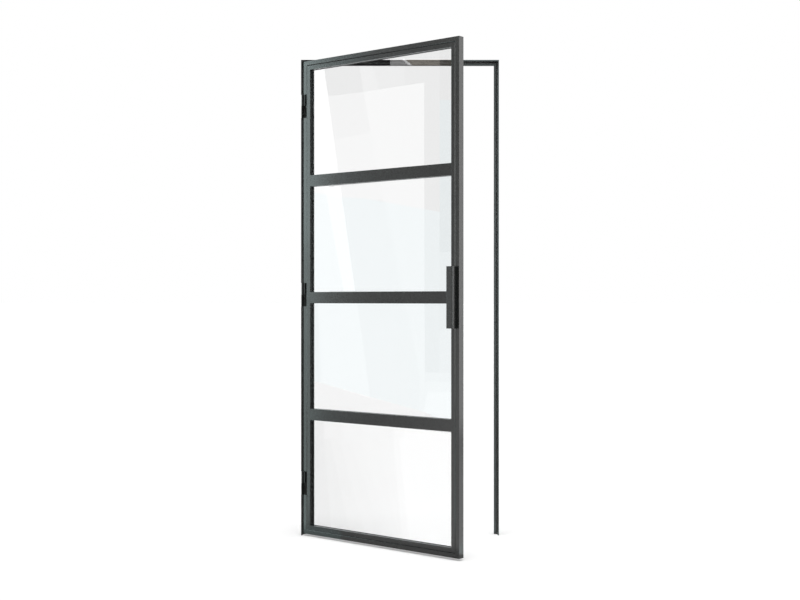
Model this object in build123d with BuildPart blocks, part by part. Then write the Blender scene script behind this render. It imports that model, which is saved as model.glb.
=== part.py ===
# Glass door in a three-sided steel frame, hung on lift-off hinges and standing part open.
# X runs across the doorway from the hinge jamb's wall face, Y from the front to the back
# and Z up from the floor, in millimetres. The leaf is drawn closed and then swung open.
import os

from build123d import *

# Frame: flat bars that line the opening, with tubes that the leaf closes against
frame_width = 880.0
frame_height = 2115.0
leg_thickness = 6.0
stop_width = 14.0
stop_depth = 10.0
stop_wall = 2.0
edge_radius = 0.6
leg_nose = 2.5
key_arm = 60.0
fit_clearance = 0.2

# Wall fixings through the flat bars
fixing_hole = 5.5
fixing_sink = 10.5
jamb_fixing_shares = (0.06, 0.30, 0.70, 0.945)
sink_angle = 90

# Gaps round the closed leaf
side_gap = 3.0
top_gap = 3.0
floor_gap = 9.0
closing_gap = 2.0

# Seal pushed into the stop
seal_width = 5.0
seal_play = 0.3
seal_round = 0.7
stem_width = 1.6
stem_play = 0.1
barb_width = 3.2
barb_tip = 1.4
barb_depth = 1.2

# Closing magnet in the lock side's stop
magnet_width = 5.0
magnet_height = 40.0

# Leaf profiles, beads and bars
leaf_depth = 30.0
tube_width = 20.0
profile_wall = 2.0
bead_width = 20.0
bead_depth = 11.0
bead_wall = 1.5
groove_chamfer = 2.0
bar_width = 50.0
bar_wall = 1.5
bar_names = ("lower", "middle", "upper")
cleat_arm = 90.0

# Glazing
glass_thickness = 6.0
glass_arris = 0.5
glass_clearance = 4.0
tape_thickness = 1.0
tape_setback = 0.5
block_length = 80.0
block_shares = (0.15, 0.85)

# Hinges
hinge_names = ("lower", "middle", "upper")
hinge_from_top = 198.0
hinge_from_bottom = 225.0
hinge_projection = 4.5
barrel_diameter = 12.0
barrel_chamfer = 1.0
knuckle_height = 50.0
washer_thickness = 1.5
washer_inset = 1.0
flap_thickness = 5.0
leaf_flap_thickness = 11.0
notch_depth = 16.0
notch_end_gap = 1.25
pin_diameter = 6.0
pin_reach = 36.0
pin_chamfer = 0.8
pin_seat_play = 0.02
pin_running_play = 0.05
bore_end_gap = 0.5

# Pull handle and its screws
handle_length = 250.0
handle_projection = 26.0
handle_width = 32.0
handle_thickness = 5.0
handle_seam_inset = 2.0
handle_bend = 6.0
handle_inner_bend = 1.5
handle_edge_radius = 0.8
screw_diameter = 4.0
screw_head = 8.0
screw_grip = 14.0
screw_play = 0.25
thread_play = 0.05
socket_size = 2.5
socket_depth = 1.2
screw_shares = (0.1, 0.9)

# Opening of the leaf in degrees, and one overrun for all cuts
open_angle = 39.5
overrun = 1.0

# Places that follow from the sizes above
stop_front = leaf_depth + closing_gap
frame_depth = stop_front + stop_depth
stop_edge = leg_thickness + stop_width
seal_front = stop_front - closing_gap + seal_play
slot_width = stem_width + 2 * stem_play
seal_stem = leg_thickness + stop_wall + fit_clearance + barb_width / 2
leaf_left = leg_thickness + side_gap
leaf_bottom = floor_gap
leaf_width = frame_width - 2 * leaf_left
leaf_height = frame_height - leg_thickness - top_gap - leaf_bottom
leaf_right = leaf_left + leaf_width
leaf_top = leaf_bottom + leaf_height
leaf_middle = (leaf_left + leaf_right) / 2
profile_width = tube_width + bead_width
glass_front = bead_depth + tape_thickness
glass_back = glass_front + glass_thickness
flange_front = glass_back + tape_thickness
flange_depth = leaf_depth - flange_front
pane_width = leaf_width - 2 * profile_width
bar_count = len(bar_names)
pane_height = (leaf_height - 2 * profile_width - bar_count * bar_width) / (bar_count + 1)
bar_pitch = pane_height + bar_width
first_bar = leaf_bottom + profile_width + pane_height + bar_width / 2
bar_heights = [first_bar + index * bar_pitch for index in range(bar_count)]
leaf_centre = leaf_bottom + leaf_height / 2
axis_x = leg_thickness + side_gap / 2
axis_y = -hinge_projection
lower_hinge = leaf_bottom + hinge_from_bottom
upper_hinge = leaf_top - hinge_from_top
hinge_heights = (lower_hinge, (lower_hinge + upper_hinge) / 2, upper_hinge)
notch_height = 2 * knuckle_height + washer_thickness + 2 * notch_end_gap
notch_reach = leaf_left + tube_width - profile_wall
flap_back = leaf_depth - profile_wall
handle_x = leaf_right - tube_width + handle_seam_inset + handle_thickness
screw_x = handle_x - handle_thickness / 2
screw_heights = [leaf_centre + handle_length * (share - 0.5) for share in screw_shares]
hinge_axis = Axis((axis_x, axis_y, 0), (0, 0, 1))
corner = (Align.MIN, Align.MIN)

os.makedirs("parts", exist_ok=True)


def edge_planes(left, bottom, right, top):
    """Give each edge of an upright rectangle a plane at its start and its length, going clockwise.
    On each plane x runs inwards, y towards the back and z along the edge."""
    width = right - left
    height = top - bottom
    return {
        "hinge": (Plane((left, 0, bottom), x_dir=(1, 0, 0), z_dir=(0, 0, 1)), height),
        "top": (Plane((left, 0, top), x_dir=(0, 0, -1), z_dir=(1, 0, 0)), width),
        "lock": (Plane((right, 0, top), x_dir=(-1, 0, 0), z_dir=(0, 0, -1)), height),
        "bottom": (Plane((right, 0, bottom), x_dir=(0, 0, 1), z_dir=(-1, 0, 0)), width),
    }


def nearest(sketch, *points):
    """Pick the sketch's vertex at each of the given points."""
    return [sketch.vertices().sort_by_distance(point)[0] for point in points]


def stick(section, edge, mitre_start=True, mitre_end=True):
    """Carry a section along one edge and cut its mitred ends at 45 degrees."""
    plane, length = edge
    far_corner = plane.origin + plane.z_dir * length
    with BuildPart() as run:
        with BuildSketch(plane):
            add(section.sketch)
        extrude(amount=length)
        if mitre_start:
            split(bisect_by=Plane(plane.origin, z_dir=plane.z_dir - plane.x_dir), keep=Keep.TOP)
        if mitre_end:
            split(bisect_by=Plane(far_corner, z_dir=-plane.z_dir - plane.x_dir), keep=Keep.TOP)
    return run.part


def corner_angle(corner_x, corner_z, way_x, way_z, outer, inner, arm, front, back):
    """Make an L-shaped corner piece whose arms run from a corner along its two edges."""
    outline = [(outer, outer), (arm, outer), (arm, inner), (inner, inner), (inner, arm), (outer, arm)]
    points = [(corner_x + way_x * across, corner_z + way_z * along) for across, along in outline]
    with BuildPart() as angle:
        with BuildSketch(Plane.XZ.offset(-front)):
            with BuildLine():
                Polyline(*points, close=True)
            make_face()
        extrude(amount=front - back)
    return angle.part


def write(piece, label):
    """Name a finished piece and save it."""
    piece.label = label
    export_step(piece, f"parts/{label}.step")


def hang(piece, label):
    """Swing a piece of the closed leaf out to its opening, then name and save it."""
    write(piece.rotate(hinge_axis, -open_angle), label)


# Sections of the frame, drawn inwards from the wall face and back from the front plane
with BuildSketch() as leg_section:
    Rectangle(leg_thickness, frame_depth, align=corner)
    fillet(nearest(leg_section, (leg_thickness, 0)), leg_nose)

with BuildSketch() as stop_section:
    with Locations((leg_thickness, stop_front)):
        stop_outline = Rectangle(stop_width, stop_depth, align=corner)
    offset(stop_outline, -stop_wall, kind=Kind.INTERSECTION, mode=Mode.SUBTRACT)
    fillet(nearest(stop_section, (stop_edge, stop_front), (stop_edge, frame_depth)), edge_radius)
    with Locations((seal_stem, stop_front)):
        Rectangle(slot_width, stop_wall, align=(Align.CENTER, Align.MIN), mode=Mode.SUBTRACT)

with BuildSketch() as seal_section:
    with Locations((leg_thickness, seal_front)):
        Rectangle(seal_width, stop_front - seal_front, align=corner)
    fillet(nearest(seal_section, (leg_thickness + seal_width, seal_front)), seal_round)
    with Locations((seal_stem, stop_front)):
        Rectangle(stem_width, stop_wall, align=(Align.CENTER, Align.MIN))
    with BuildLine():
        barb_start = stop_front + stop_wall
        barb_end = barb_start + barb_depth
        Polyline(
            (seal_stem - barb_width / 2, barb_start),
            (seal_stem + barb_width / 2, barb_start),
            (seal_stem + barb_tip / 2, barb_end),
            (seal_stem - barb_tip / 2, barb_end),
            close=True,
        )
    make_face()

# Frame members: the jambs stand square on the floor and are mitred to the head
frame_edges = edge_planes(0, 0, frame_width, frame_height)

with BuildPart() as hinge_jamb:
    add(stick(leg_section, frame_edges["hinge"], mitre_start=False))
    with Locations(*[(-overrun, -overrun, height) for height in hinge_heights]):
        Box(
            leg_thickness + 2 * overrun,
            notch_depth + overrun,
            notch_height,
            align=(Align.MIN, Align.MIN, Align.CENTER),
            mode=Mode.SUBTRACT,
        )
    fixings = [
        Plane((leg_thickness, stop_front / 2, frame_height * share), z_dir=(1, 0, 0))
        for share in jamb_fixing_shares
    ]
    with Locations(*fixings):
        CounterSinkHole(fixing_hole / 2, fixing_sink / 2, counter_sink_angle=sink_angle)
write(hinge_jamb.part, "hinge_jamb")

with BuildPart() as lock_jamb:
    add(stick(leg_section, frame_edges["lock"], mitre_end=False))
    fixings = [
        Plane((frame_width - leg_thickness, stop_front / 2, frame_height * share), z_dir=(-1, 0, 0))
        for share in jamb_fixing_shares
    ]
    with Locations(*fixings):
        CounterSinkHole(fixing_hole / 2, fixing_sink / 2, counter_sink_angle=sink_angle)
write(lock_jamb.part, "lock_jamb")

# The head, stops and seals follow the same edges, and a slot in the lock side's stop holds the magnet
write(stick(leg_section, frame_edges["top"]), "head_bar")
write(stick(stop_section, frame_edges["hinge"], mitre_start=False), "hinge_stop")
write(stick(stop_section, frame_edges["top"]), "head_stop")
write(stick(seal_section, frame_edges["hinge"], mitre_start=False), "hinge_seal")
write(stick(seal_section, frame_edges["top"]), "head_seal")
write(stick(seal_section, frame_edges["lock"], mitre_end=False), "lock_seal")

magnet_x = frame_width - stop_edge + stop_wall + fit_clearance + magnet_width / 2
magnet_place = (magnet_x, stop_front, leaf_centre)
magnet_align = (Align.CENTER, Align.MIN, Align.CENTER)

with BuildPart() as lock_stop:
    add(stick(stop_section, frame_edges["lock"], mitre_end=False))
    with Locations(magnet_place):
        Box(
            magnet_width + fit_clearance,
            stop_wall,
            magnet_height + fit_clearance,
            align=magnet_align,
            mode=Mode.SUBTRACT,
        )
write(lock_stop.part, "lock_stop")

with BuildPart() as closing_magnet:
    with Locations(magnet_place):
        Box(magnet_width, stop_depth - stop_wall, magnet_height, align=magnet_align)
write(closing_magnet.part, "closing_magnet")

# Angle keys in the hollow of the stops, behind the seals' barbs
key_outer = leg_thickness + stop_wall + fit_clearance
key_inner = stop_edge - stop_wall - fit_clearance
key_front = stop_front + stop_wall + barb_depth + fit_clearance
key_back = frame_depth - stop_wall
for name, corner_x, way_x in (("hinge", 0, 1), ("lock", frame_width, -1)):
    key = corner_angle(
        corner_x, frame_height, way_x, -1, key_outer, key_inner, key_arm, key_front, key_back
    )
    write(key, f"frame_key_{name}")

# Sections of the leaf: an L-shaped hollow profile and the bead that closes its glazing pocket
with BuildSketch() as profile_section:
    with BuildLine():
        Polyline(
            (0, 0),
            (tube_width, 0),
            (tube_width, flange_front),
            (profile_width, flange_front),
            (profile_width, leaf_depth),
            (0, leaf_depth),
            close=True,
        )
    profile_outline = make_face()
    offset(profile_outline, -profile_wall, kind=Kind.INTERSECTION, mode=Mode.SUBTRACT)
    fillet(
        nearest(profile_section, (0, 0), (0, leaf_depth), (profile_width, leaf_depth)),
        edge_radius,
    )
    chamfer(nearest(profile_section, (tube_width, 0)), groove_chamfer)

with BuildSketch() as bead_section:
    with Locations((tube_width, 0)):
        bead_outline = Rectangle(bead_width, bead_depth, align=corner)
    offset(bead_outline, -bead_wall, kind=Kind.INTERSECTION, mode=Mode.SUBTRACT)
    fillet(nearest(bead_section, (profile_width, 0)), edge_radius)
    chamfer(nearest(bead_section, (tube_width, 0)), groove_chamfer)

# Leaf members: two stiles, two rails and the four beads, all mitred
leaf_edges = edge_planes(leaf_left, leaf_bottom, leaf_right, leaf_top)

with BuildPart() as hinge_stile:
    add(stick(profile_section, leaf_edges["hinge"]))
    with Locations(*[(-overrun, -overrun, height) for height in hinge_heights]):
        Box(
            notch_reach + overrun,
            notch_depth + overrun,
            notch_height,
            align=(Align.MIN, Align.MIN, Align.CENTER),
            mode=Mode.SUBTRACT,
        )
hang(hinge_stile.part, "hinge_stile")

with BuildPart() as lock_stile:
    add(stick(profile_section, leaf_edges["lock"]))
    with Locations(*[Plane((screw_x, leaf_depth, height), z_dir=(0, 1, 0)) for height in screw_heights]):
        CounterSinkHole(
            screw_diameter / 2 + screw_play,
            screw_head / 2 + screw_play,
            leaf_depth + overrun,
            counter_sink_angle=sink_angle,
        )
hang(lock_stile.part, "lock_stile")

hang(stick(profile_section, leaf_edges["top"]), "top_rail")
hang(stick(profile_section, leaf_edges["bottom"]), "bottom_rail")
for name, edge in leaf_edges.items():
    hang(stick(bead_section, edge), f"bead_{name}")

# Corner cleats inside the tubes of the profiles
cleat_outer = profile_wall + fit_clearance
cleat_inner = tube_width - profile_wall - fit_clearance
leaf_corners = {
    "lower_hinge": (leaf_left, leaf_bottom, 1, 1),
    "upper_hinge": (leaf_left, leaf_top, 1, -1),
    "lower_lock": (leaf_right, leaf_bottom, -1, 1),
    "upper_lock": (leaf_right, leaf_top, -1, -1),
}
for name, (corner_x, corner_z, way_x, way_z) in leaf_corners.items():
    cleat = corner_angle(
        corner_x,
        corner_z,
        way_x,
        way_z,
        cleat_outer,
        cleat_inner,
        cleat_arm,
        profile_wall + fit_clearance,
        leaf_depth - profile_wall,
    )
    hang(cleat, f"leaf_cleat_{name}")

# Flat hollow glazing bars, flush with the beads in front and with the flanges behind
bar_layers = {"front": (0, bead_depth), "back": (flange_front, flange_depth)}
for side, (layer_front, layer_depth) in bar_layers.items():
    for name, height in zip(bar_names, bar_heights):
        with BuildPart() as glazing_bar:
            with BuildSketch(Plane.YZ.offset(leaf_left + profile_width)) as bar_section:
                with Locations((layer_front + layer_depth / 2, height)):
                    bar_outline = Rectangle(layer_depth, bar_width)
                shown_edge = 0 if side == "front" else -1
                fillet(bar_section.vertices().group_by(Axis.X)[shown_edge], edge_radius)
                with Locations((layer_front + layer_depth / 2, height)):
                    Rectangle(layer_depth - 2 * bar_wall, bar_width - 2 * bar_wall, mode=Mode.SUBTRACT)
            extrude(amount=pane_width)
        hang(glazing_bar.part, f"{side}_bar_{name}")

# One pane behind all the bars, held between two ladders of tape
glass_inset = tube_width + glass_clearance
glass_width = leaf_width - 2 * glass_inset
glass_height = leaf_height - 2 * glass_inset

with BuildPart() as glass_pane:
    with Locations((leaf_middle, (glass_front + glass_back) / 2, leaf_centre)):
        Box(glass_width, glass_thickness, glass_height)
    chamfer(glass_pane.edges(), glass_arris)
hang(glass_pane.part, "glass_pane")

for side, layer_front in (("front", bead_depth), ("back", glass_back)):
    with BuildPart() as tape:
        with BuildSketch(Plane.XZ.offset(-layer_front)):
            with Locations((leaf_middle, leaf_centre)):
                Rectangle(glass_width - 2 * glass_arris, glass_height - 2 * glass_arris)
                with GridLocations(0, bar_pitch, 1, bar_count + 1):
                    Rectangle(
                        pane_width + 2 * tape_setback,
                        pane_height + 2 * tape_setback,
                        mode=Mode.SUBTRACT,
                    )
        extrude(amount=-tape_thickness)
    hang(tape.part, f"{side}_tape")

with BuildPart() as setting_blocks:
    for plane, length in leaf_edges.values():
        for share in block_shares:
            with BuildSketch(plane.offset(length * share - block_length / 2)):
                with Locations((tube_width, glass_front)):
                    Rectangle(glass_clearance, glass_thickness, align=corner)
            extrude(amount=block_length)
hang(setting_blocks.part, "setting_blocks")

# Lift-off hinges: a fixed lower half with its pin, a bearing washer and a lifting upper half
for name, height in zip(hinge_names, hinge_heights):
    lower_top = height - washer_thickness / 2
    upper_base = height + washer_thickness / 2
    lower_base = lower_top - knuckle_height
    upper_top = upper_base + knuckle_height

    with BuildPart() as frame_half:
        with BuildSketch(Plane.XY.offset(lower_base)):
            with Locations((axis_x, axis_y)):
                Circle(barrel_diameter / 2)
        extrude(amount=knuckle_height)
        chamfer(frame_half.edges().group_by(Axis.Z)[0], barrel_chamfer)
        with BuildSketch(Plane.XY.offset(lower_base)):
            with Locations((leg_thickness - flap_thickness, axis_y)):
                Rectangle(flap_thickness, notch_depth - axis_y, align=corner)
        extrude(amount=knuckle_height)
        with Locations((axis_x, axis_y, lower_top)):
            Hole(pin_diameter / 2 + pin_seat_play, pin_reach)
    write(frame_half.part, f"hinge_frame_half_{name}")

    with BuildPart() as hinge_pin:
        with BuildSketch(Plane.XY.offset(lower_top - pin_reach)):
            with Locations((axis_x, axis_y)):
                Circle(pin_diameter / 2)
        extrude(amount=2 * pin_reach + washer_thickness)
        chamfer(hinge_pin.edges().group_by(Axis.Z)[-1], pin_chamfer)
    write(hinge_pin.part, f"hinge_pin_{name}")

    with BuildPart() as hinge_washer:
        with BuildSketch(Plane.XY.offset(lower_top)):
            with Locations((axis_x, axis_y)):
                Circle(barrel_diameter / 2 - washer_inset)
                Circle(pin_diameter / 2 + pin_running_play, mode=Mode.SUBTRACT)
        extrude(amount=washer_thickness)
    write(hinge_washer.part, f"hinge_washer_{name}")

    with BuildPart() as leaf_half:
        with BuildSketch(Plane.XY.offset(upper_base)):
            with Locations((axis_x, axis_y)):
                Circle(barrel_diameter / 2)
        extrude(amount=knuckle_height)
        chamfer(leaf_half.edges().group_by(Axis.Z)[-1], barrel_chamfer)
        with BuildSketch(Plane.XY.offset(upper_base)):
            with Locations((leaf_left + profile_wall, axis_y)):
                Rectangle(leaf_flap_thickness, flap_back - axis_y, align=corner)
        extrude(amount=knuckle_height)
        with Locations(Plane((axis_x, axis_y, upper_base), z_dir=(0, 0, -1))):
            Hole(pin_diameter / 2 + pin_running_play, pin_reach + bore_end_gap)
    hang(leaf_half.part, f"hinge_leaf_half_{name}")

# Pull handle: flat bar bent to an L, with tapped holes in the foot of its web
with BuildPart() as pull_handle:
    with BuildSketch(Plane.XY.offset(leaf_centre - handle_length / 2)) as handle_section:
        web_inner = handle_x - handle_thickness
        plate_back = handle_thickness - handle_projection
        with BuildLine():
            Polyline(
                (handle_x, 0),
                (handle_x, -handle_projection),
                (handle_x - handle_width, -handle_projection),
                (handle_x - handle_width, plate_back),
                (web_inner, plate_back),
                (web_inner, 0),
                close=True,
            )
        make_face()
        fillet(nearest(handle_section, (handle_x, -handle_projection)), handle_bend)
        fillet(nearest(handle_section, (web_inner, plate_back)), handle_inner_bend)
        fillet(
            nearest(
                handle_section,
                (handle_x - handle_width, -handle_projection),
                (handle_x - handle_width, plate_back),
            ),
            handle_edge_radius,
        )
    extrude(amount=handle_length)
    with Locations(*[Plane((screw_x, 0, height), z_dir=(0, 1, 0)) for height in screw_heights]):
        Hole(screw_diameter / 2 + thread_play, screw_grip + thread_play)
hang(pull_handle.part, "pull_handle")

with BuildPart() as handle_screws:
    with Locations(*[Plane((screw_x, leaf_depth, height), z_dir=(0, -1, 0)) for height in screw_heights]):
        Cylinder(
            screw_diameter / 2,
            leaf_depth + screw_grip,
            align=(Align.CENTER, Align.CENTER, Align.MIN),
        )
        Cone(
            screw_head / 2,
            screw_diameter / 2,
            (screw_head - screw_diameter) / 2,
            align=(Align.CENTER, Align.CENTER, Align.MIN),
        )
    for height in screw_heights:
        with BuildSketch(Plane((screw_x, leaf_depth, height), z_dir=(0, -1, 0))):
            RegularPolygon(socket_size / 2, 6)
        extrude(amount=socket_depth, mode=Mode.SUBTRACT)
hang(handle_screws.part, "handle_screws")
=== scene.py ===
import bpy
import numpy as np
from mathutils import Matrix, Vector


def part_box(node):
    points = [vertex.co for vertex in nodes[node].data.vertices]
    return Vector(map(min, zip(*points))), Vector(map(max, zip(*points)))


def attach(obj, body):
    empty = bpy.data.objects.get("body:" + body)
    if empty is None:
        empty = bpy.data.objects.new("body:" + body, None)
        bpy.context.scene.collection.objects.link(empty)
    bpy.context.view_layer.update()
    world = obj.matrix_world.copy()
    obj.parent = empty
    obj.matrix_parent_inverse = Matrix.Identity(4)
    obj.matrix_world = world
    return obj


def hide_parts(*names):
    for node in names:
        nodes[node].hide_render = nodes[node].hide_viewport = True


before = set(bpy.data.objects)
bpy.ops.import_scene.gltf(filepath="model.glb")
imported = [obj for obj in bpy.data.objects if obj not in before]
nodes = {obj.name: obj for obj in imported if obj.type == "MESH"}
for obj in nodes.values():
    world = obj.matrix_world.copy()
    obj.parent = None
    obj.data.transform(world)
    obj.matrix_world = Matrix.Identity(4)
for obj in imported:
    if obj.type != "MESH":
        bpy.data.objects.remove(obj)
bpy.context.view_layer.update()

# Powder-coated frame: three flat steel bars line the wall opening, and a slim tube on each one
# makes the stop that the leaf closes against. All of it is sprayed with one dark anthracite
# powder, baked to a fine dry texture.


def add_node(tree, kind, **values):
    """Adds a shader node and sets its plain properties or the default values of its inputs."""
    node = tree.nodes.new(kind)
    for name, value in values.items():
        if name in node.inputs:
            node.inputs[name].default_value = value
        else:
            setattr(node, name, value)
    return node


def add_group(name, inputs, outputs):
    """Makes an empty shader group with named sockets, given as name, type and default value."""
    group = bpy.data.node_groups.new(name, "ShaderNodeTree")
    for socket_name, kind, value in inputs:
        socket = group.interface.new_socket(socket_name, in_out="INPUT", socket_type=kind)
        socket.default_value = value
    for socket_name, kind in outputs:
        group.interface.new_socket(socket_name, in_out="OUTPUT", socket_type=kind)
    return group, group.nodes.new("NodeGroupInput"), group.nodes.new("NodeGroupOutput")


def powder_coat_group():
    """Fine texture of a baked powder coat. Small grains give the height, a wider cloud of them
    mottles the colour between two tones, and the roughness follows the cloud."""
    inputs = (
        ("Dark Tone", "NodeSocketColor", (0.02, 0.02, 0.02, 1.0)),
        ("Light Tone", "NodeSocketColor", (0.05, 0.05, 0.05, 1.0)),
        ("Grain Scale", "NodeSocketFloat", 1100.0),
        ("Cloud Scale", "NodeSocketFloat", 180.0),
        ("Smooth Roughness", "NodeSocketFloat", 0.4),
        ("Dry Roughness", "NodeSocketFloat", 0.5),
    )
    outputs = (
        ("Color", "NodeSocketColor"),
        ("Roughness", "NodeSocketFloat"),
        ("Height", "NodeSocketFloat"),
    )
    group, entry, leave = add_group("powder_coat", inputs, outputs)
    link = group.links.new
    place = add_node(group, "ShaderNodeTexCoord")
    grain = add_node(group, "ShaderNodeTexNoise", Detail=2.0, Roughness=0.6)
    cloud = add_node(group, "ShaderNodeTexNoise", Detail=3.0, Roughness=0.7)
    spread = add_node(group, "ShaderNodeMapRange")
    spread.inputs["From Min"].default_value = 0.3
    spread.inputs["From Max"].default_value = 0.7
    tone = add_node(group, "ShaderNodeMix", data_type="RGBA")
    dryness = add_node(group, "ShaderNodeMapRange")
    link(place.outputs["Object"], grain.inputs["Vector"])
    link(place.outputs["Object"], cloud.inputs["Vector"])
    link(entry.outputs["Grain Scale"], grain.inputs["Scale"])
    link(entry.outputs["Cloud Scale"], cloud.inputs["Scale"])
    link(cloud.outputs["Fac"], spread.inputs["Value"])
    link(spread.outputs["Result"], tone.inputs["Factor"])
    link(entry.outputs["Dark Tone"], tone.inputs["A"])
    link(entry.outputs["Light Tone"], tone.inputs["B"])
    link(spread.outputs["Result"], dryness.inputs["Value"])
    link(entry.outputs["Smooth Roughness"], dryness.inputs["To Min"])
    link(entry.outputs["Dry Roughness"], dryness.inputs["To Max"])
    link(tone.outputs["Result"], leave.inputs["Color"])
    link(dryness.outputs["Result"], leave.inputs["Roughness"])
    link(grain.outputs["Fac"], leave.inputs["Height"])
    return group


def new_material(name, **sockets):
    """Makes a material with one Principled shader whose plain sockets are set directly."""
    material = bpy.data.materials.new(name)
    material.use_nodes = True
    shader = material.node_tree.nodes["Principled BSDF"]
    for socket, value in sockets.items():
        shader.inputs[socket.replace("_", " ")].default_value = value
    return material, material.node_tree, shader


def coated(name, dark, light, smooth, dry, specular):
    """Powder-coated steel: the coat group feeds colour, roughness and a fine bump."""
    material, tree, shader = new_material(name, Specular_IOR_Level=specular)
    coat = add_node(tree, "ShaderNodeGroup", node_tree=powder_coat)
    coat.inputs["Dark Tone"].default_value = (*dark, 1.0)
    coat.inputs["Light Tone"].default_value = (*light, 1.0)
    coat.inputs["Smooth Roughness"].default_value = smooth
    coat.inputs["Dry Roughness"].default_value = dry
    bump = add_node(tree, "ShaderNodeBump", Strength=0.35, Distance=coat_depth)
    tree.links.new(coat.outputs["Color"], shader.inputs["Base Color"])
    tree.links.new(coat.outputs["Roughness"], shader.inputs["Roughness"])
    tree.links.new(coat.outputs["Height"], bump.inputs["Height"])
    tree.links.new(bump.outputs["Normal"], shader.inputs["Normal"])
    return material


def dress(material, names):
    """Gives a material to every slot of the named pieces."""
    for name in names:
        mesh = nodes[name].data
        mesh.materials.clear()
        mesh.materials.append(material)


powder_coat = powder_coat_group()
coat_depth = 0.00002
anthracite_dark = (0.009, 0.0095, 0.009)
anthracite_light = (0.018, 0.019, 0.018)
anthracite = coated(
    "anthracite_coat", anthracite_dark, anthracite_light, smooth=0.13, dry=0.20, specular=0.37
)
dry_coat = coated(
    "dry_anthracite_coat", anthracite_dark, anthracite_light, smooth=0.26, dry=0.34, specular=0.31
)
dress(anthracite, ["hinge_jamb", "lock_jamb", "head_bar"])
dress(dry_coat, ["hinge_stop", "lock_stop", "head_stop", "closing_magnet"])

# Door seals: black rubber strips pushed into the slots of the stops. Each has two soft ribs that
# the leaf presses on, and is cut at 45 degrees where it meets the next one.


def mesh_piece(name, points, faces, material):
    """Puts arrays of points and faces into a new flat-shaded object with one material."""
    mesh = bpy.data.meshes.new(name)
    mesh.from_pydata(points.tolist(), [], faces)
    mesh.polygons.foreach_set("use_smooth", np.zeros(len(mesh.polygons), dtype=bool))
    mesh.materials.append(material)
    mesh.update()
    piece = bpy.data.objects.new(name, mesh)
    bpy.context.scene.collection.objects.link(piece)
    return piece


def ribbed_section(width, height, back, valley, count):
    """Outline of a strip across its width: the front stands at a share of the height in its
    valleys, swells into soft ribs as the root of a rectified sine, and the back is straight."""
    share = np.linspace(0.0, 1.0, count)
    rib = np.sqrt(np.abs(np.sin(2.0 * np.pi * share)))
    front = np.column_stack((share * width, back - height * (valley + (1.0 - valley) * rib)))
    return np.vstack((front, [(width, back), (0.0, back)]))


def mitred_run(section, corner, inward, along, length, cut_start, cut_end):
    """Carries a section of inward and depth offsets along an edge. At a mitred end a point
    starts as far along the edge as it lies inwards of the corner."""
    reach = section[:, 0]
    flat = corner + reach[:, None] * inward + section[:, 1:] * np.array([0.0, 1.0, 0.0])
    start = flat + (reach * cut_start)[:, None] * along
    end = flat + (length - reach * cut_end)[:, None] * along
    count = len(section)
    ring = np.arange(count)
    following = np.roll(ring, -1)
    sides = np.column_stack((ring, following, following + count, ring + count)).tolist()
    caps = [ring[::-1].tolist(), (ring + count).tolist()]
    return np.vstack((start, end)), sides + caps


def vary_surface(tree, shader, amount, tones, roughness):
    """Lets an amount from 0 to 1 carry the colour from one tone to the other, and the roughness
    from one value to the other."""
    tone = add_node(tree, "ShaderNodeMix", data_type="RGBA")
    tone.inputs["A"].default_value = (*tones[0], 1.0)
    tone.inputs["B"].default_value = (*tones[1], 1.0)
    dryness = add_node(tree, "ShaderNodeMapRange")
    dryness.inputs["To Min"].default_value = roughness[0]
    dryness.inputs["To Max"].default_value = roughness[1]
    tree.links.new(amount, tone.inputs["Factor"])
    tree.links.new(amount, dryness.inputs["Value"])
    tree.links.new(tone.outputs["Result"], shader.inputs["Base Color"])
    tree.links.new(dryness.outputs["Result"], shader.inputs["Roughness"])


def rubber(name, dark, light):
    """Black rubber: a faint cloud of tones with a dry, slightly pitted surface."""
    material, tree, shader = new_material(name, Specular_IOR_Level=0.12)
    place = add_node(tree, "ShaderNodeTexCoord")
    cloud = add_node(tree, "ShaderNodeTexNoise", Scale=600.0, Detail=3.0)
    bump = add_node(tree, "ShaderNodeBump", Strength=0.08, Distance=0.0002)
    tree.links.new(place.outputs["Object"], cloud.inputs["Vector"])
    tree.links.new(cloud.outputs["Fac"], bump.inputs["Height"])
    tree.links.new(bump.outputs["Normal"], shader.inputs["Normal"])
    vary_surface(tree, shader, cloud.outputs["Fac"], tones=(dark, light), roughness=(0.6, 0.8))
    return material


seal_rubber = rubber("seal_rubber", (0.080, 0.080, 0.079), (0.110, 0.110, 0.109))
frame_low = np.array(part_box("hinge_jamb")[0])
frame_high = np.array(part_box("lock_jamb")[1])
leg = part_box("hinge_jamb")[1][0]
seal_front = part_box("hinge_seal")[0][1]
stop_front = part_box("hinge_stop")[0][1]
seal_width = 0.005
rib_valley = 0.45
rib_points = 33
seal_section = ribbed_section(seal_width, stop_front - seal_front, stop_front, rib_valley, rib_points)
seal_section[:, 0] += leg
width = frame_high[0] - frame_low[0]
height = frame_high[2] - frame_low[2]
left_foot = np.array([frame_low[0], 0.0, 0.0])
left_top = np.array([frame_low[0], 0.0, frame_high[2]])
right_top = np.array([frame_high[0], 0.0, frame_high[2]])
east = np.array([1.0, 0.0, 0.0])
up = np.array([0.0, 0.0, 1.0])
square, mitred = 0.0, 1.0
seal_runs = {
    "hinge_seal": (left_foot, east, up, height, square, mitred),
    "head_seal": (left_top, -up, east, width, mitred, mitred),
    "lock_seal": (right_top, -east, -up, height, mitred, square),
}
for node, run in seal_runs.items():
    points, faces = mitred_run(seal_section, *run)
    strip = mesh_piece(node + "_lip", points, faces, seal_rubber)
    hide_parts(node)
    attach(strip, "frame")

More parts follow.
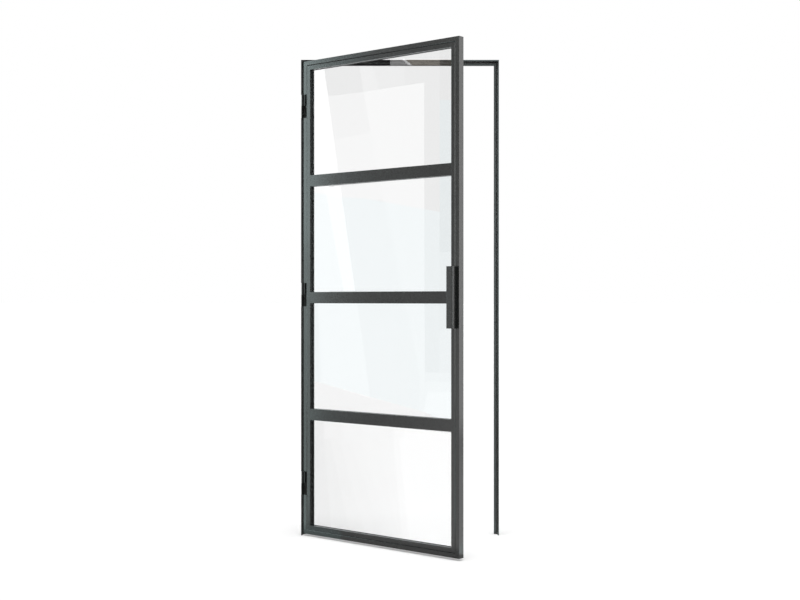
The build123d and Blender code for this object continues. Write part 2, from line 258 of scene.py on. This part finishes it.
# Leaf: hollow mitred steel profiles with the glazing beads in front, and flat hollow bars on both
# sides of the pane, sprayed in the same powder as the frame.
leaf_profiles = ["hinge_stile", "lock_stile", "top_rail", "bottom_rail"]
leaf_beads = ["bead_" + edge for edge in ("hinge", "top", "lock", "bottom")]
levels = ("lower", "middle", "upper")
leaf_bars = [side + "_bar_" + level for side in ("front", "back") for level in levels]
dress(anthracite, leaf_profiles + leaf_beads + leaf_bars)

# Pane: one sheet of clear safety glass between the bars, very slightly grey, with a faint drift
# in its polish. Black foam tape beds it on both sides, and black blocks carry its edges.
pane_tint = (0.928, 0.930, 0.930, 1.0)
polish_most = 0.004
clear_glass, glass_tree, glass_shader = new_material(
    "clear_glass",
    Base_Color=pane_tint,
    Transmission_Weight=1.0,
    IOR=1.5,
    Metallic=0.0,
    Coat_Weight=1.0,
    Coat_IOR=1.5,
    Coat_Roughness=0.0,
)
glass_place = add_node(glass_tree, "ShaderNodeTexCoord")
polish = add_node(glass_tree, "ShaderNodeTexNoise", Scale=3.0, Detail=1.0)
polish_range = add_node(glass_tree, "ShaderNodeMapRange")
polish_range.inputs["To Min"].default_value = 0.0
polish_range.inputs["To Max"].default_value = polish_most
glass_tree.links.new(glass_place.outputs["Object"], polish.inputs["Vector"])
glass_tree.links.new(polish.outputs["Fac"], polish_range.inputs["Value"])
glass_tree.links.new(polish_range.outputs["Result"], glass_shader.inputs["Roughness"])
dress(clear_glass, ["glass_pane"])
nodes["glass_pane"].visible_shadow = False
foam_tape = rubber("foam_tape", (0.010, 0.010, 0.010), (0.020, 0.020, 0.020))
dress(foam_tape, ["front_tape", "back_tape", "setting_blocks"])

# Hinges: three lift-off hinges of black coated steel. The frame halves are welded to the jamb and
# hold bright turned pins; their coat has almost no gloss, which is painted shade that keeps them as
# dark as the shadow beside the jamb. The satin leaf halves turn on those, each over a black bearing washer.


def streaked_metal(name, dark, light, smooth, dry):
    """Turned or cast metal: fine streaks along the height vary the tone and the roughness."""
    material, tree, shader = new_material(name, Metallic=1.0)
    place = add_node(tree, "ShaderNodeTexCoord")
    stretch = add_node(tree, "ShaderNodeMapping", Scale=(200.0, 200.0, 4000.0))
    streak = add_node(tree, "ShaderNodeTexNoise", Scale=1.0, Detail=2.0)
    tree.links.new(place.outputs["Object"], stretch.inputs["Vector"])
    tree.links.new(stretch.outputs["Vector"], streak.inputs["Vector"])
    vary_surface(tree, shader, streak.outputs["Fac"], tones=(dark, light), roughness=(smooth, dry))
    return material


hinge_dark = (0.0015, 0.0015, 0.0015)
hinge_light = (0.003, 0.003, 0.003)
# Frame halves: the same black as the leaf halves with its gloss taken out, painted shade for the shadow
# they sit in.
shaded_hinge_black = coated("shaded_hinge_black", hinge_dark, hinge_light, smooth=0.3, dry=0.4, specular=0.05)
satin_black = coated("satin_black", hinge_dark, hinge_light, smooth=0.3, dry=0.4, specular=0.2)
steel_dark = (0.42, 0.42, 0.42)
steel_light = (0.56, 0.56, 0.57)
bright_steel = streaked_metal("bright_steel", steel_dark, steel_light, smooth=0.22, dry=0.38)
bearing_plastic = rubber("bearing_plastic", (0.008, 0.008, 0.008), (0.016, 0.016, 0.016))
dress(shaded_hinge_black, ["hinge_frame_half_" + level for level in levels])
dress(satin_black, ["hinge_leaf_half_" + level for level in levels])
dress(bright_steel, ["hinge_pin_" + level for level in levels])
dress(bearing_plastic, ["hinge_washer_" + level for level in levels])

# Corner keys and cleats: cast aluminium angles, pushed into the tubes of the frame and the leaf
# before the mitred corners are closed over them.
aluminium_dark = (0.50, 0.50, 0.51)
aluminium_light = (0.62, 0.62, 0.63)
cast_aluminium = streaked_metal("cast_aluminium", aluminium_dark, aluminium_light, smooth=0.4, dry=0.55)
frame_keys = ["frame_key_" + side for side in ("hinge", "lock")]
leaf_cleats = ["leaf_cleat_" + end + "_" + side for end in ("lower", "upper") for side in ("hinge", "lock")]
dress(cast_aluminium, frame_keys + leaf_cleats)

# Pull: flat steel bar bent to an L and sprayed with a drier powder, held by bright countersunk
# screws from the back of the lock stile.
pull_coat = coated("pull_coat", anthracite_dark, anthracite_light, smooth=0.22, dry=0.30, specular=0.32)
dress(pull_coat, ["pull_handle"])
dress(bright_steel, ["handle_screws"])

# Floor: a smooth studio floor in matt white paint. It glows a little to the camera and to the
# gloss, so that it stays white and keeps only the soft shadow of the door.
past_gloss = ("Is Transmission Ray", "Glossy Depth")
behind_glass = ("Is Glossy Ray", "Is Reflection Ray", "Transmission Depth")
far_dim = 0.3
behind_dim = 0.1


def bare_material(name):
    """Makes a material with an empty tree."""
    material = bpy.data.materials.new(name)
    material.use_nodes = True
    material.node_tree.nodes.clear()
    return material, material.node_tree


def product(tree, first, second, clamp=False):
    """Multiplies two values, each one the output of a node or a plain number."""
    node = add_node(tree, "ShaderNodeMath", operation="MULTIPLY", use_clamp=clamp)
    for socket, value in zip(node.inputs, (first, second)):
        if isinstance(value, float):
            socket.default_value = value
        else:
            tree.links.new(value, socket)
    return node.outputs["Value"]


def seen_rays(tree, camera_level=1.0):
    """1 for rays off a gloss or through glass, a level of its own for the camera's rays, and 0
    for rays that only light."""
    path = add_node(tree, "ShaderNodeLightPath")
    first = add_node(tree, "ShaderNodeMath", operation="MAXIMUM")
    both = add_node(tree, "ShaderNodeMath", operation="MAXIMUM")
    tree.links.new(product(tree, path.outputs["Is Camera Ray"], camera_level), first.inputs[0])
    tree.links.new(path.outputs["Is Glossy Ray"], first.inputs[1])
    tree.links.new(first.outputs["Value"], both.inputs[0])
    tree.links.new(path.outputs["Is Transmission Ray"], both.inputs[1])
    return both.outputs["Value"]


def dimmed(tree, kinds, dim):
    """1 for most rays, and a dim value for those that are of every kind named."""
    path = add_node(tree, "ShaderNodeLightPath")
    match = path.outputs[kinds[0]]
    for kind in kinds[1:]:
        match = product(tree, match, path.outputs[kind], clamp=True)
    fade = add_node(tree, "ShaderNodeMapRange")
    fade.inputs["To Min"].default_value = 1.0
    fade.inputs["To Max"].default_value = dim
    tree.links.new(match, fade.inputs["Value"])
    return fade.outputs["Result"]


def far_room(tree):
    """How bright the room is: dim in what a gloss shows through glass, and in what a piece behind
    the glass reflects."""
    return product(tree, dimmed(tree, past_gloss, far_dim), dimmed(tree, behind_glass, behind_dim))


floor_tone = 0.75
floor_glow = 0.25
floor_camera_level = 1.2
floor_reach = 400.0
floor_white, floor_tree = bare_material("floor_white")
floor_paint = add_node(floor_tree, "ShaderNodeBsdfDiffuse")
floor_light = add_node(floor_tree, "ShaderNodeEmission")
floor_sum = add_node(floor_tree, "ShaderNodeAddShader")
floor_leave = add_node(floor_tree, "ShaderNodeOutputMaterial")
floor_fade = far_room(floor_tree)
floor_lift = product(floor_tree, seen_rays(floor_tree, floor_camera_level), floor_glow)
floor_tree.links.new(product(floor_tree, floor_fade, floor_tone), floor_paint.inputs["Color"])
floor_tree.links.new(product(floor_tree, floor_lift, floor_fade), floor_light.inputs["Strength"])
floor_tree.links.new(floor_paint.outputs["BSDF"], floor_sum.inputs[0])
floor_tree.links.new(floor_light.outputs["Emission"], floor_sum.inputs[1])
floor_tree.links.new(floor_sum.outputs["Shader"], floor_leave.inputs["Surface"])
floor_corners = np.array([(-1, -1, 0), (1, -1, 0), (1, 1, 0), (-1, 1, 0)]) * floor_reach
floor = mesh_piece("studio_floor", floor_corners, [(0, 1, 2, 3)], floor_white)

# Studio cards: flat panels that only show as reflections in the glass and the coat. Those on the
# left make the streaks in the pane, so each is placed by the pixels where the camera sees it there.
image_width, image_height = 800.0, 600.0
focal_pixels = 1245.6
eye_distance = 5.54
eye_height = 1.047
eye = np.array([width / 2, -eye_distance, eye_height])
open_degrees = 39.5
opening = np.radians(open_degrees)
pane_normal = np.array([-np.sin(opening), -np.cos(opening), 0.0])
pane_place = np.array(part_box("glass_pane")).mean(axis=0)
x_axis, z_axis = 0, 2


def glowing(name, color, strength):
    """Plain light surface, dim in what a piece behind the glass reflects."""
    material, tree = bare_material(name)
    glow = add_node(tree, "ShaderNodeEmission")
    glow.inputs["Color"].default_value = (*color, 1.0)
    leave = add_node(tree, "ShaderNodeOutputMaterial")
    level = product(tree, dimmed(tree, behind_glass, behind_dim), strength)
    tree.links.new(level, glow.inputs["Strength"])
    tree.links.new(glow.outputs["Emission"], leave.inputs["Surface"])
    return material


def card(name, corners, color, level, gloss=True, through=False):
    """A flat panel from its corners, seen only as a reflection, only through the glass, or both."""
    points = np.array(corners, dtype=float)
    faces = [tuple(range(len(points)))]
    panel = mesh_piece(name, points, faces, glowing(name, color, level))
    panel.visible_camera = False
    panel.visible_diffuse = False
    panel.visible_glossy = gloss
    panel.visible_transmission = through
    panel.visible_shadow = False


def mirrored(pixels, plane_axis, plane_at):
    """Follows the camera's rays through the pixels to the pane, turns each one back about the
    pane's normal, and runs it on to a plane across the given axis."""
    pixels = np.array(pixels, dtype=float)
    rays = np.column_stack((
        (pixels[:, 0] - image_width / 2) / focal_pixels,
        np.ones(len(pixels)),
        (image_height / 2 - pixels[:, 1]) / focal_pixels,
    ))
    reach = ((pane_place - eye) @ pane_normal) / (rays @ pane_normal)
    met = eye + reach[:, None] * rays
    turned = rays - 2.0 * (rays @ pane_normal)[:, None] * pane_normal
    onward = (plane_at - met[:, plane_axis]) / turned[:, plane_axis]
    return met + onward[:, None] * turned


def rectangle(across, upward):
    """The corners of an upright rectangle from its two ranges, going round from the lowest."""
    return [(across[0], upward[0]), (across[1], upward[0]), (across[1], upward[1]), (across[0], upward[1])]


neutral = (1.0, 1.0, 1.0)
warm = (1.0, 0.93, 0.82)
pale_cool = (0.81, 1.0, 1.0)
front_cool = (0.82, 1.0, 1.0)
far_blue = (0.945, 0.989, 1.0)
wall_x = -4.0
card_step = 0.01
wall_streaks = (
    ("dark_corner", ((311, 40), (452, 40), (452, 96), (311, 96)), 0.47),
    ("dark_right", ((424, 40), (470, 40), (470, 300), (424, 300)), 0.45),
    ("dim_end", ((440, 40), (470, 40), (470, 100), (440, 100)), 0.15),
    ("grey_end", ((440, 100), (470, 100), (470, 252), (440, 252)), 0.42),
    ("pale_band", ((359, 60), (372, 60), (380, 92), (364, 93)), 0.95),
    ("grey_band", ((372, 60), (405, 60), (405, 87), (380, 92)), 0.7),
    ("panel_left", ((328.5, 96.5), (364, 92), (384, 200), (340, 200)), 1.25),
    ("panel_low_left", ((334, 140), (373, 132), (384, 200), (340, 200)), 1.5),
    ("panel_right", ((364, 92), (424.7, 82.5), (424.7, 210), (384, 204)), 1.63),
    ("band_left", ((341, 197), (366, 198.5), (385, 202), (420, 374), (420, 412), (330, 386)), 1.55),
    ("band_right", ((385, 202), (424.7, 209), (425.5, 412), (420, 411), (420, 374)), 1.72),
    ("band_far", ((424.7, 209), (440, 212), (440, 412), (425.5, 412)), 1.05),
    ("band_end", ((440, 252), (470, 252), (470, 330), (440, 330)), 0.85),
    ("band_low_end", ((440, 330), (470, 330), (470, 416), (440, 412)), 1.25),
    ("pale_end", ((426, 372), (470, 374), (470, 430), (424, 412)), 1.5),
    ("light_end", ((427, 381), (470, 383), (470, 430), (424, 412)), 1.75),
    ("bright_end", ((428, 392), (470, 392), (470, 430), (424, 412)), 2.05),
    ("white_left", ((311, 55), (323, 55), (341, 188), (311, 192)), 2.4),
    ("light_left", ((311, 189), (326, 187), (344, 292), (311, 300)), 2.1),
    ("white_streak", ((325, 186), (341, 186), (357, 301), (346, 301)), 2.6),
    ("pale_left", ((318, 297), (357, 297), (371, 399), (322, 383)), 1.9),
    ("dim_left", ((311, 297), (318, 297), (322, 383), (311, 380)), 1.5),
    ("grey_foot", ((311, 379), (322, 383), (371, 398), (425, 412), (425, 425), (311, 425)), 1.3),
    ("foot_dim", ((311, 415), (324, 415), (325, 450), (311, 450)), 0.75),
    ("foot_grey", ((324, 416), (344, 418), (344, 450), (325, 450)), 1.22),
    ("foot_pale", ((344, 418), (362, 420), (362, 450), (344, 450)), 1.42),
    ("foot_light", ((362, 420), (394, 422), (394, 450), (362, 450)), 1.55),
    ("foot_white", ((394, 422), (405, 423), (403, 450), (394, 450)), 1.85),
    ("foot_end", ((405, 423), (470, 428), (470, 450), (403, 450)), 2.2),
    ("bar_high", ((330, 176.5), (410, 166), (410, 179), (330, 187)), 0.2),
    ("bar_high_end", ((410, 166), (452, 163), (452, 175), (410, 179)), 1.6),
    ("bar_middle", ((330, 291), (410, 291), (410, 303), (330, 303)), 0.02),
    ("bar_middle_end", ((410, 291), (452, 291), (452, 303), (410, 303)), 0.9),
    ("bar_low", ((330, 410), (452, 421), (452, 433), (330, 421)), 0.4),
    ("rail_high", ((311, 61), (340, 56), (400, 46), (400, 55), (340, 64), (311, 67)), 4.6),
    ("rail_high_end", ((400, 46), (452, 37), (452, 47), (400, 55)), 2.0),
)
for index, (name, pixels, level) in enumerate(wall_streaks):
    card(name, mirrored(pixels, x_axis, wall_x + card_step * index), neutral, level)

# Behind the head the glass shows a darker view, with one pale slanted line in it
head_rows = (59.0, 65.6)
head_cards = (
    ("head_black", (330, 390.5), (330, 390.5), neutral, 0.02),
    ("head_grey", (390.5, 404), (390.5, 411), neutral, 1.1),
    ("head_brown", (404, 440), (411, 440), warm, 0.95),
    ("head_olive", (440, 470), (440, 470), warm, 0.35),
    ("head_line", (402, 405), (409, 413), neutral, 2.6),
)
for index, (name, upper, lower, color, level) in enumerate(head_cards):
    pixels = [(x, head_rows[0]) for x in upper] + [(x, head_rows[1]) for x in lower[::-1]]
    place = wall_x + card_step * (len(wall_streaks) + index)
    card(name, mirrored(pixels, x_axis, place), color, level, through=True)

# In the lowest pane the floor brightens to the right in slanted bands
floor_step = 0.001
floor_row = 434.0
sill_row, sill_column, sill_slope = 525.0, 316.0, 0.157
band_upper = (311, 324, 330, 338, 348, 360, 378, 393, 399, 470)
band_lower = (311, 332, 350, 366, 384, 392, 399, 403, 410, 470)
band_levels = (0.68, 0.92, 1.1, 1.26, 1.4, 1.52, 1.62, 1.9, 2.2)
for index, level in enumerate(band_levels):
    upper = [(x, floor_row) for x in band_upper[index:index + 2]]
    lower = [(x, sill_row + sill_slope * (x - sill_column)) for x in band_lower[index:index + 2]]
    card("floor_band_" + str(index), mirrored(upper + lower[::-1], z_axis, floor_step * 2), neutral, level)

# Through the two middle panes the far side is faintly blue
tint_y = 3.0
tint_outline = (
    (300, 190), (341, 197), (366, 198.5), (385, 202), (440, 212), (440, 100),
    (470, 100), (470, 440), (425, 412), (322, 383), (300, 377),
)
tint_pixels = np.array(tint_outline, dtype=float)
tint_reach = (tint_y - eye[1]) / focal_pixels
tint_corners = np.column_stack((
    eye[0] + (tint_pixels[:, 0] - image_width / 2) * tint_reach,
    np.full(len(tint_pixels), tint_y),
    eye[2] + (image_height / 2 - tint_pixels[:, 1]) * tint_reach,
))
card("far_tint", tint_corners, far_blue, 1.0, gloss=False, through=True)

# The rest of the left wall, the lit hinge side and what stands to the right of the pane
wall_room_x = wall_x - card_step
hinge_wall_x = wall_x + card_step * (len(wall_streaks) + len(head_cards))
side_x = 4.5
side_far_x = 4.6
hinge_y = mirrored(((311, 300),), x_axis, hinge_wall_x)[0, 1]
hinge_range = (hinge_y, 3.0)
wall_cards = (
    ("wall_room", wall_room_x, (-9, 6), (-0.5, 7), neutral, 1.0),
    ("wall_high", hinge_wall_x, (-4, -0.5), (3.07, 5), neutral, 1.7),
    ("wall_lock", hinge_wall_x, (-4, -1.68), (-0.5, 4), neutral, 2.6),
    ("wall_hinge_high", hinge_wall_x, hinge_range, (1.45, 4.5), pale_cool, 8.0),
    ("wall_hinge_middle", hinge_wall_x, hinge_range, (0.75, 1.45), pale_cool, 5.2),
    ("wall_hinge_low", hinge_wall_x, hinge_range, (-0.1, 0.75), pale_cool, 4.3),
    ("side_front", side_far_x, (-3.7, -2.2), (0.98, 4), neutral, 8.0),
    ("side_pull", side_far_x, (-9, -3.7), (0.8, 1.5), neutral, 10.0),
    ("side_bright", side_x, (-2, 0.7), (0.1, 4), neutral, 3.6),
    ("side_dark", side_x, (0.7, 6), (0, 5), neutral, 0.1),
)
for name, place, across, upward, color, level in wall_cards:
    card(name, [(place, y, z) for y, z in rectangle(across, upward)], color, level)
rail_hinge = mirrored(((311, 61), (360, 52), (360, 61), (311, 67)), x_axis, hinge_wall_x + card_step)
card("rail_hinge", rail_hinge, pale_cool, 8.5)

# Lit and shaded parts of the floor, by the pixels where the pane or the rail shows them or by place
floor_views = (
    ("floor_hinge", ((250, 434), (311, 434), (311, 530), (250, 528)), pale_cool, 4.9),
    ("floor_near", ((300, 523), (345, 530), (345, 543), (300, 531)), pale_cool, 1.7),
    ("floor_rail", ((345, 531), (452, 548), (452, 556), (345, 543)), neutral, 1.15),
)
for name, pixels, color, level in floor_views:
    card(name, mirrored(pixels, z_axis, floor_step), color, level)
floor_parts = (
    ("floor_front", ((0.82, 0), (0.95, 0), (2.3, -9), (0.7, -9)), pale_cool, 4.0),
    ("floor_side", ((0.8, -0.6), (4.4, -0.4), (4.4, 0.7), (0.8, -0.3)), neutral, 2.4),
)
for name, corners, color, level in floor_parts:
    card(name, [(x, y, floor_step) for x, y in corners], color, level)

# What stands behind the camera
front_y = -9.0
front_cards = (
    ("front_bright", (0.6, 2.3), (0, 3.3), front_cool, 6.4),
    ("front_high", (0.6, 2.3), (3.3, 4.4), front_cool, 3.9),
    ("front_pale", (2.3, 5), (0, 4), neutral, 5.5),
    ("front_dark", (-4, 0.5), (0, 6), neutral, 0.02),
)
for name, across, upward, color, level in front_cards:
    card(name, [(x, front_y, z) for x, z in rectangle(across, upward)], color, level)

# Light: a broad high lamp almost straight above, and an even pale surround. What a gloss shows of
# the room on the far side of the glass is dim.
surround = 0.4
lamp_energy = 1.9
lamp_spread = 16.0
lamp_tilt = 6.0
world = bpy.data.worlds.new("studio")
bpy.context.scene.world = world
world.use_nodes = True
world_tree = world.node_tree
background = world_tree.nodes["Background"]
background.inputs["Color"].default_value = (1.0, 1.0, 1.0, 1.0)
lift = add_node(world_tree, "ShaderNodeMapRange")
lift.inputs["To Min"].default_value = surround
lift.inputs["To Max"].default_value = 1.0
world_tree.links.new(seen_rays(world_tree), lift.inputs["Value"])
world_level = product(world_tree, lift.outputs["Result"], far_room(world_tree))
world_tree.links.new(world_level, background.inputs["Strength"])

lamp_data = bpy.data.lights.new("high_lamp", "SUN")
lamp_data.energy = lamp_energy
lamp_data.angle = np.radians(lamp_spread)
lamp = bpy.data.objects.new("high_lamp", lamp_data)
lamp.rotation_euler = (np.radians(lamp_tilt), 0.0, 0.0)
bpy.context.scene.collection.objects.link(lamp)

# Camera: level, square on to the frame and centred on its width, at a little over hip height. Its
# lens follows from the focal length in pixels that the cards use too.
sensor = 36.0
camera_data = bpy.data.cameras.new("camera")
camera_data.sensor_width = sensor
camera_data.lens = focal_pixels * sensor / image_width
camera = bpy.data.objects.new("camera", camera_data)
camera.location = eye
camera.rotation_euler = (np.pi / 2, 0.0, 0.0)
bpy.context.scene.collection.objects.link(camera)
bpy.context.scene.camera = camera
bpy.context.scene.view_settings.view_transform = "Standard"
